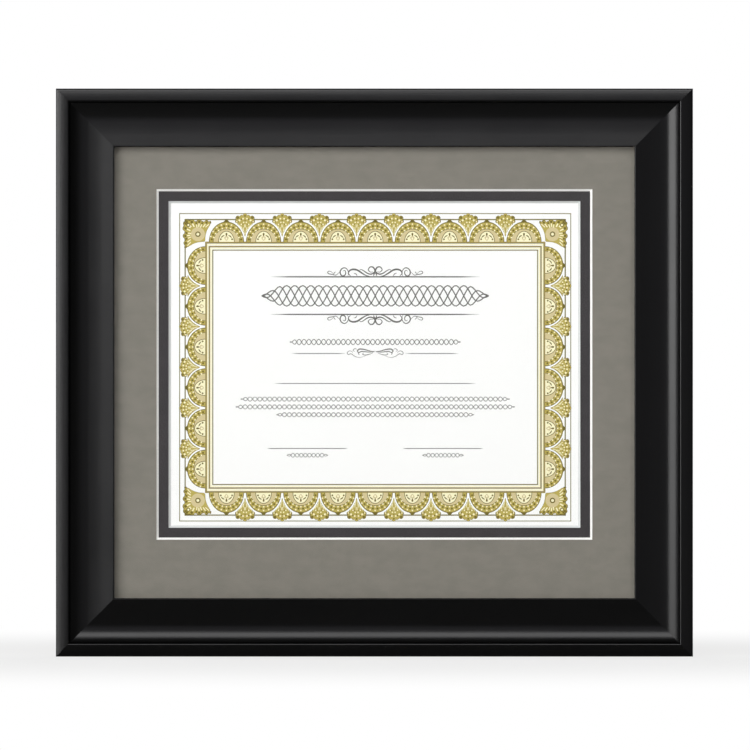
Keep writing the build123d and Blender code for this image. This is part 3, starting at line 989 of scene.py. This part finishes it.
def furthest(middle, angle, circles):
    """How far one can look from middle, at this angle, before leaving the last of the circles."""
    out = Vector(on_ring(1, 1, angle))
    reach = 0.0
    for x, z, radius in circles:
        to = Vector((x, z)) - Vector(middle)
        along = to.dot(out)
        aside = to.length_squared - along * along
        if aside < radius * radius:
            reach = max(reach, along + math.sqrt(radius * radius - aside))
    return reach


def lobed_top(middle, first, last, circles):
    return sweep(middle, lambda angle: furthest(middle, angle, circles), first, last, LOBE_STEPS)


def mirrored(spots):
    """Each spot and its mirror image, or one alone if it lies on the axis."""
    return [(side * x, z, size) for x, z, size in spots for side in ((-1, 1) if x else (1,))]


def palmette(spot, pitch, far, tip):
    """One palmette between scallops a pitch apart. tip is how far out it reaches."""
    wide, high = (size + GAP for size in scallop_size(pitch, far))
    press = (tip - FAN_MIDDLE) / (LOBES[0][1] + LOBES[0][2] - FAN_MIDDLE)

    def place(across, height):
        over = max(height - FAN_MIDDLE, 0.0)
        return spot(across, height - over + press * over)

    edge = []
    for step in range(STEM_STEPS + 1):
        height = STEM_FOOT + (FAN_MIDDLE - STEM_FOOT) * step / STEM_STEPS
        edge.append((max(STEM_HALF, pitch / 2 - wide * math.sqrt(1 - (height / high) ** 2)), height))
    top = lobed_top((0, FAN_MIDDLE), *FAN_SWEEP, mirrored(LOBES) + [FAN_BODY])
    outline = edge + top + [(-across, height) for across, height in reversed(edge)]
    olive.patch([place(*point) for point in outline], layer=1)
    narrow, low = FAN_FILL
    fill = [(narrow * across, FAN_MIDDLE + low * (height - FAN_MIDDLE)) for across, height in outline]
    straw.patch([place(*point) for point in fill], layer=2)
    for side in (-1, 1):
        for rib in RIBS:
            cream.stroke([place(side * across, height) for across, height in rib], RIB_WIDTH, layer=3)
    for ink, spots in ((cream, PALE_SPOTS), (olive, DARK_SPOTS)):
        for across, height, size in mirrored(spots):
            ink.dot(place(across, height), size, layer=4, sides=8)


print("palmette with", 2 * len(LOBES) - 1, "lobes")

# %% [markdown]
# The long sides carry nine scallops and the short sides six, a little wider apart. A side is described by
# which of x and z runs out from it and with which sign, so the same two drawings serve for all four. The
# strip between the rules is narrower on the short sides, so the palmettes' tips are pressed flatter there.

# %% Repeat along the four sides
LONG_SIDE = 9, 24.25
SHORT_SIDE = 6, 26.54
TIP_OVERLAP = 0.4


def side_spot(way, sign, middle):
    """A function from steps along and out at this place on a side to a point on the sheet."""
    def spot(along, out):
        point = [middle + along, middle + along]
        point[way] = sign * (SCALLOP_FOOT[way] + out)
        return point
    return spot


for way, signs, (count, pitch) in ((1, (1, -1), LONG_SIDE), (0, (-1, 1), SHORT_SIDE)):
    far = SECOND_RULE[way] - SCALLOP_FOOT[way]
    tip = OUTER_RULE[way] - SCALLOP_FOOT[way] + TIP_OVERLAP
    for sign in signs:
        for index in range(count):
            scallop(side_spot(way, sign, pitch * (index - (count - 1) / 2)), pitch, far)
        for index in range(count - 1):
            palmette(side_spot(way, sign, pitch * (index - (count - 2) / 2)), pitch, far, tip)
scallops = 2 * (LONG_SIDE[0] + SHORT_SIDE[0])
print(scallops, "scallops and", scallops - 4, "palmettes")

# %% [markdown]
# ## Corners
# In each corner a lobed piece of lace fills the square between the two end scallops. Its lobes are circles
# again, seen from the corner of the heavy rule. On its pale field sit one bead with a dark ring and one
# small rosette.

# %% Draw the corners
CURVE_STEPS = 7


def smooth(points):
    """A curve through the points. Its direction at each is that of the line between its two neighbours."""
    ends = [points[0]] + list(points) + [points[-1]]
    path = [Vector(points[0])]
    for before, start, end, after in zip(ends, ends[1:], ends[2:], ends[3:]):
        before, start, end, after = (Vector(point) for point in (before, start, end, after))
        for step in range(1, CURVE_STEPS + 1):
            share = step / CURVE_STEPS
            ease = share * share
            cube = ease * share
            path.append(0.5 * ((2 * start) + (end - before) * share
                               + (2 * before - 5 * start + 4 * end - after) * ease
                               + (3 * start - before - 3 * end + after) * cube))
    return path


CORNER_LOBES = (
    (-3.4, 12.5, 1.2), (-0.8, 12.6, 1.6), (2.0, 12.2, 1.4), (3.9, 13.0, 1.7), (5.8, 12.2, 1.4),
    (8.8, 12.9, 1.9), (11.9, 12.9, 1.6),
)
CORNER_EDGE = (0.1, 0.7), (-0.3, 4.7), (-1.4, 8.0), (-3.1, 10.8)
CORNER_MIDDLE = 3.5, 3.5
CORNER_BODY = 5, 5, 6.6
CORNER_SWEEP = 126, -36
CORNER_FILL = 0.95
CORNER_FIELD = 4.6
CORNER_BEAD = 4.8, 5.0
CORNER_ROSETTE = 11.0, 11.0
ROSETTE_LOBE = 3.2
RAY_SHARES = 0.6, 0.88
RAY_WIDTH = 0.45
RINGED_DOTS = (CORNER_BEAD, 1.8), (CORNER_ROSETTE, 1.3)
PALE_SHARE = 0.55


def corner_lace(sign_x, sign_z):
    def spot(across, rise):
        return sign_x * (SCALLOP_FOOT[0] + across), sign_z * (SCALLOP_FOOT[1] + rise)

    def towards(start, end, share):
        return tuple(Vector(start) + share * (Vector(end) - Vector(start)))

    lobes = list(CORNER_LOBES) + [(z, x, radius) for x, z, radius in CORNER_LOBES]
    edge = [tuple(point) for point in smooth(CORNER_EDGE)]
    top = lobed_top(CORNER_MIDDLE, *CORNER_SWEEP, lobes + [(*CORNER_ROSETTE, ROSETTE_LOBE), CORNER_BODY])
    outline = edge + top + [(rise, across) for across, rise in reversed(edge)]
    olive.patch([spot(*point) for point in outline], layer=1)
    straw.patch([spot(*towards(CORNER_MIDDLE, point, CORNER_FILL)) for point in outline], layer=2)
    tan.dot(spot(*CORNER_BEAD), CORNER_FIELD, layer=3, sides=24)
    for x, z, radius in lobes:
        olive.dot(spot(x, z), radius / 2, layer=3, sides=8)
        ray = [spot(*towards(CORNER_BEAD, (x, z), share)) for share in RAY_SHARES]
        cream.stroke(ray, RAY_WIDTH * radius, layer=4)
    for middle, radius in RINGED_DOTS:
        olive.dot(spot(*middle), radius, layer=5, sides=16)
        cream.dot(spot(*middle), PALE_SHARE * radius, layer=6, sides=12)


for sign_x in (-1, 1):
    for sign_z in (-1, 1):
        corner_lace(sign_x, sign_z)
print("corners drawn")

# %% [markdown]
# ## Scrolls and rules
# The middle of the sheet has grey pen flourishes over and under a broad band, a small one between two
# rules, and plain rules to write on. A flourish is a few smooth curves through given points, mirrored left
# and right. The strokes are finest at their ends, as a pen leaves them.

# %% Pen strokes
LARGE_SCROLL = (
    ((1.5, 3.4), (3.1, 3.1), (4.5, 4.6), (3.3, 6.4), (1.5, 6.3), (0.5, 5.1), (0.0, 3.75), (-1.1, 2.5),
     (-3.1, 1.75), (-5.4, 2.5), (-7.7, 4.1), (-9.5, 4.8), (-10.1, 4.3)),
    ((3.7, 0.4), (6.0, 0.9), (8.8, 2.5), (11.5, 4.3), (14.3, 4.9), (16.6, 4.1), (17.5, 2.3), (16.1, 0.6)),
    ((17.9, 0.5), (17.4, 2.7), (18.4, 5.0), (20.1, 5.9), (22.0, 5.0), (22.9, 3.0), (22.0, 0.9),
     (20.4, 0.7), (19.3, 2.0), (19.4, 3.7), (20.3, 4.2), (21.0, 3.6)),
    ((22.9, 3.7), (24.3, 2.1), (25.7, 1.1), (28.0, 1.6), (30.3, 2.0), (31.0, 3.0), (30.1, 3.7),
     (28.5, 3.2), (26.9, 1.6)),
    ((25.9, 3.4), (26.5, 2.7), (27.1, 2.0)),
    ((11.7, 0.5), (12.6, 1.9), (14.0, 2.3)),
    ((1.1, 0.6), (0.7, 1.8), (0.0, 2.65)),
)
SMALL_SCROLL = (
    ((0.2, 1.4), (3.0, 1.5), (6.8, 2.6), (10.2, 2.9), (11.6, 1.6), (10.6, 0.6), (9.6, 1.3)),
    ((0.4, 1.1), (3.4, 0.9), (7.0, 1.2), (9.4, 1.2), (11.0, 0.0), (10.2, -0.8)),
    ((1.5, 0.4), (4.0, -0.5), (6.4, -1.0), (8.2, -0.5), (7.4, 0.5)),
    ((6.4, -1.6), (10.4, -2.6), (13.6, -1.6), (15.6, -0.2), (17.6, -0.6), (18.2, 0.6), (16.8, 1.7),
     (15.0, 1.2), (14.6, 0.2)),
    ((11.8, 2.6), (13.2, 3.2), (14.4, 2.2), (13.4, 1.2)),
)
LARGE_WIDTHS = 0.94, 1.12, 0.8, 0.56, 0.5, 0.5, 0.75
SMALL_WIDTHS = 0.8, 0.65, 0.52, 0.44, 0.44
SCROLL_LAYER = 2
LARGE_RULES = 59.0, 34.5
LARGE_HALF = 68.1
SMALL_RULE = 9.0
SMALL_ENDS = 54.4, 19.4
WRITING_RULE = -10.5
WRITING_HALF = 65.7
SHORT_RULE = -52.9
SHORT_PLACE = 44.2
SHORT_HALF = 26.1
RULE_STEPS = 24
RULE_TIP = 0.08


def scroll(curves, widths, level, flip):
    """Draws the curves about x = 0 at this height, and again as their mirror image."""
    for number, (curve, width) in enumerate(zip(curves, widths)):
        for side in (1, -1):
            path = [(side * x, level + flip * z) for x, z in smooth(curve)]
            grey.stroke(path, pen(width), SCROLL_LAYER + 2 * number + (side < 0))


def rule(start, end, level, width=0.5, taper=0.02):
    """A level rule whose ends fade to a point over a share of its length."""
    path = [(start + (end - start) * step / RULE_STEPS, level) for step in range(RULE_STEPS + 1)]
    grey.stroke(path, lambda share: width * max(RULE_TIP, min(1.0, share / taper, (1 - share) / taper)), 1)


for level, flip in zip(LARGE_RULES, (1, -1)):
    rule(-LARGE_HALF, LARGE_HALF, level, width=0.85, taper=0.09)
    scroll(LARGE_SCROLL, LARGE_WIDTHS, level, flip)
for side in (-1, 1):
    rule(side * SMALL_ENDS[0], side * SMALL_ENDS[1], SMALL_RULE, taper=0.12)
scroll(SMALL_SCROLL, SMALL_WIDTHS, SMALL_RULE, flip=1)
rule(-WRITING_HALF, WRITING_HALF, WRITING_RULE)
for side in (-1, 1):
    rule(side * SHORT_PLACE - SHORT_HALF, side * SHORT_PLACE + SHORT_HALF, SHORT_RULE)
print("scrolls and rules drawn")

# %% [markdown]
# Plain guilloche bands run across the sheet: waves that weave through one another, as on any printed form.
# The broad band has four tall waves, and the narrow ones below it have two small ones each. Every wave has
# its own layer, so that no two lie in one plane where they cross.

# %% Guilloche bands
STEPS_PER_WAVE = 14
CLOSING = 0.6
SHORT_BAND = 13.5, 1.3, 5.4, 2, 0.4
BANDS = (
    ((0, 46.6), 74.0, 6.7, 21.0, 4, 0.76),
    ((0, 16.5), 55.7, 1.8, 6.4, 2, 0.5),
    ((0, -20.7), 87.7, 1.4, 6.4, 2, 0.45),
    ((0, -25.8), 91.0, 1.4, 6.4, 2, 0.45),
    ((0, -30.9), 64.5, 1.4, 6.4, 2, 0.45),
    ((-SHORT_PLACE, -57.3), *SHORT_BAND),
    ((SHORT_PLACE, -57.3), *SHORT_BAND),
)


def weave(middle, half_length, amplitude, wave, strands, width):
    """Sine waves of one length, evenly out of step, between two ends where they close to a point."""
    steps = round(2 * half_length / wave * STEPS_PER_WAVE)
    for strand in range(strands):
        path = []
        for step in range(steps + 1):
            x = half_length * (2 * step / steps - 1)
            close = min(1.0, (half_length - abs(x)) / (CLOSING * wave))
            phase = math.tau * (x / wave + strand / strands)
            path.append((middle[0] + x, middle[1] + amplitude * close * math.sin(phase)))
        grey.stroke(path, width, 1 + strand)


for band in BANDS:
    weave(*band)
print(len(BANDS), "guilloche bands drawn")

# %% [markdown]
# Each ink has gathered all its shapes by now. They become one mesh for each ink, which rides the frame.

# %% Finish the inks
for ink in (gold, bronze, straw, tan, cream, olive, grey):
    piece = ink.finish()
    print(piece.name, len(piece.data.polygons), "faces")

# %% [markdown]
# ## Floor and surroundings
# The frame stands on a pale floor that catches its shadow. Further off the floor turns into plain white, so
# that it meets the white surroundings without a line. The Light Path node tells which ray asks: the camera,
# the glass, or a mirror. A mirror that looks in front of the frame sees a darker floor.

# %% Floor
FLOOR_SIZE = 30.0
NEAR_FLOOR = 0.25
FAR_FLOOR = 0.9
NEAR_WHITENESS = 0.7
BEHIND = 0.0, 0.2
FLOOR_TONE = 0.72, 0.72, 0.715, 1.0
MIRRORED_TONE = 0.22, 0.22, 0.22, 1.0
WHITE = 1.0, 1.0, 1.0, 1.0


def ray_kinds(wiring):
    """1 for rays from the camera or through glass, and 1 for rays from mirrors."""
    path = wiring.add("LightPath").outputs
    direct = wiring.maths("MAXIMUM", path["Is Camera Ray"], path["Is Transmission Ray"])
    return direct, path["Is Glossy Ray"]


def floor_parts(wiring):
    direct, glossy = ray_kinds(wiring)
    behind = wiring.rise(wiring.axes(wiring.place())[1], *BEHIND)
    in_front = wiring.maths("SUBTRACT", 1.0, behind)
    tone = wiring.mix(wiring.maths("MULTIPLY", glossy, in_front), FLOOR_TONE, MIRRORED_TONE)
    matte = wiring.add("BsdfDiffuse", {"Color": tone}).outputs[0]
    white = wiring.add("Emission", {"Color": WHITE, "Strength": 1.0}).outputs[0]
    distance = wiring.add("VectorMath", {0: wiring.place()}, operation="LENGTH").outputs["Value"]
    far = wiring.rise(distance, NEAR_FLOOR, FAR_FLOOR, NEAR_WHITENESS, 1.0)
    seen = wiring.maths("MAXIMUM", direct, wiring.maths("MULTIPLY", glossy, behind))
    return wiring.maths("MULTIPLY", far, seen), matte, white


floor_shape = bmesh.new()
bmesh.ops.create_grid(floor_shape, x_segments=1, y_segments=1, size=FLOOR_SIZE / 2)
floor = make_piece("floor", floor_shape, two_part_material("pale_floor", floor_parts))
floor.location.z = cad_low.z
print("floor at", round(cad_low.z / MM, 1), "mm")

# %% [markdown]
# The surroundings are white to the camera, and to mirrors and glass where they lie behind the frame. In
# front of the frame they are a dim room, brighter towards the upper left, which is what black lacquer needs
# to look black.

# %% Surroundings
ROOM_FILL = 0.18
ROOM_MIRRORED = 0.012, 0.47
ROOM_TINT = 0.99, 0.97, 1.06, 1.0
DIM_BELOW = -0.53, 0.08
DIM_ABOVE = 0.95, 0.6
DIM_RIGHT = 0.95, 0.0
FILL_BEHIND = 0.0, 0.5
WHITE_BEHIND = 0.6, 0.95


def surroundings():
    world = bpy.data.worlds.new("studio")
    world.use_nodes = True
    bpy.context.scene.world = world
    wiring = Wiring(world.node_tree)
    across, depth, height = wiring.axes(wiring.add("TexCoord").outputs["Generated"])
    direct, glossy = ray_kinds(wiring)
    level = wiring.maths("MULTIPLY", wiring.rise(height, *DIM_BELOW), wiring.rise(height, *DIM_ABOVE))
    lit = wiring.maths("MULTIPLY", wiring.rise(across, *DIM_RIGHT), level)
    front = wiring.rise(lit, 0.0, 1.0, *ROOM_MIRRORED)
    reflection = wiring.maths("MAXIMUM", front, wiring.rise(depth, *WHITE_BEHIND))
    fill = wiring.rise(depth, *FILL_BEHIND, ROOM_FILL, 1.0)
    to_mirrors = wiring.maths("MULTIPLY", glossy, reflection)
    to_others = wiring.maths("MULTIPLY", wiring.maths("SUBTRACT", 1.0, glossy), fill)
    room = wiring.maths("ADD", to_mirrors, to_others)
    background = world.node_tree.nodes["Background"].inputs
    wiring.put(background["Strength"], wiring.maths("MAXIMUM", room, direct))
    wiring.put(background["Color"], wiring.mix(glossy, WHITE, ROOM_TINT))


surroundings()
print("surroundings ready")

# %% [markdown]
# ## Lamps
# Two large soft boxes light the frame. One stands to the left, well round to the side, and one hangs above.
# Their mirror images are the sheen on the scoop of the opposite rails, and their shadows fall inside the top
# and left sight edges. They stand far off, so the light is even from edge to edge.

# %% Soft boxes
LAMP_DISTANCE = 10.0


def soft_box(name, left_angle, up_angle, wide, high, power):
    side, lift = math.radians(left_angle), math.radians(up_angle)
    towards = Vector((-math.sin(side) * math.cos(lift), -math.cos(side) * math.cos(lift), math.sin(lift)))
    lamp = bpy.data.lights.new(name, "AREA")
    lamp.shape = "RECTANGLE"
    lamp.size = wide
    lamp.size_y = high
    lamp.energy = power
    holder = bpy.data.objects.new(name, lamp)
    holder.location = Vector((0, 0, middle_z)) + towards * LAMP_DISTANCE
    holder.rotation_euler = towards.to_track_quat("Z", "Y").to_euler()
    holder.visible_camera = False
    bpy.context.scene.collection.objects.link(holder)


soft_box("soft_box_left", left_angle=41.5, up_angle=6, wide=6.0, high=4.4, power=720)
soft_box("soft_box_top", left_angle=0, up_angle=35.5, wide=9.3, high=3.8, power=445)
print("two soft boxes")

# %% [markdown]
# ## Camera
# The picture is taken square on, with a long lens from far away, so that the deep scoop and the flat sheet
# keep the same scale. The lens is worked out from the width that the picture shows at the frame.

# %% Camera and view
PICTURE_WIDTH = 489.7 * MM
CAMERA_DISTANCE = 8.0
AIM_RIGHT = 0.37 * MM
AIM_DOWN = 1.6 * MM

camera_data = bpy.data.cameras.new("camera")
camera_data.sensor_width = 36.0
camera_data.lens = camera_data.sensor_width * CAMERA_DISTANCE / PICTURE_WIDTH
camera_data.clip_end = 100.0
camera = bpy.data.objects.new("camera", camera_data)
camera.location = (AIM_RIGHT, -CAMERA_DISTANCE, middle_z - AIM_DOWN)
camera.rotation_euler = (math.pi / 2, 0, 0)
bpy.context.scene.collection.objects.link(camera)
bpy.context.scene.camera = camera
bpy.context.scene.view_settings.view_transform = "Standard"
print("lens", round(camera_data.lens, 1), "mm")
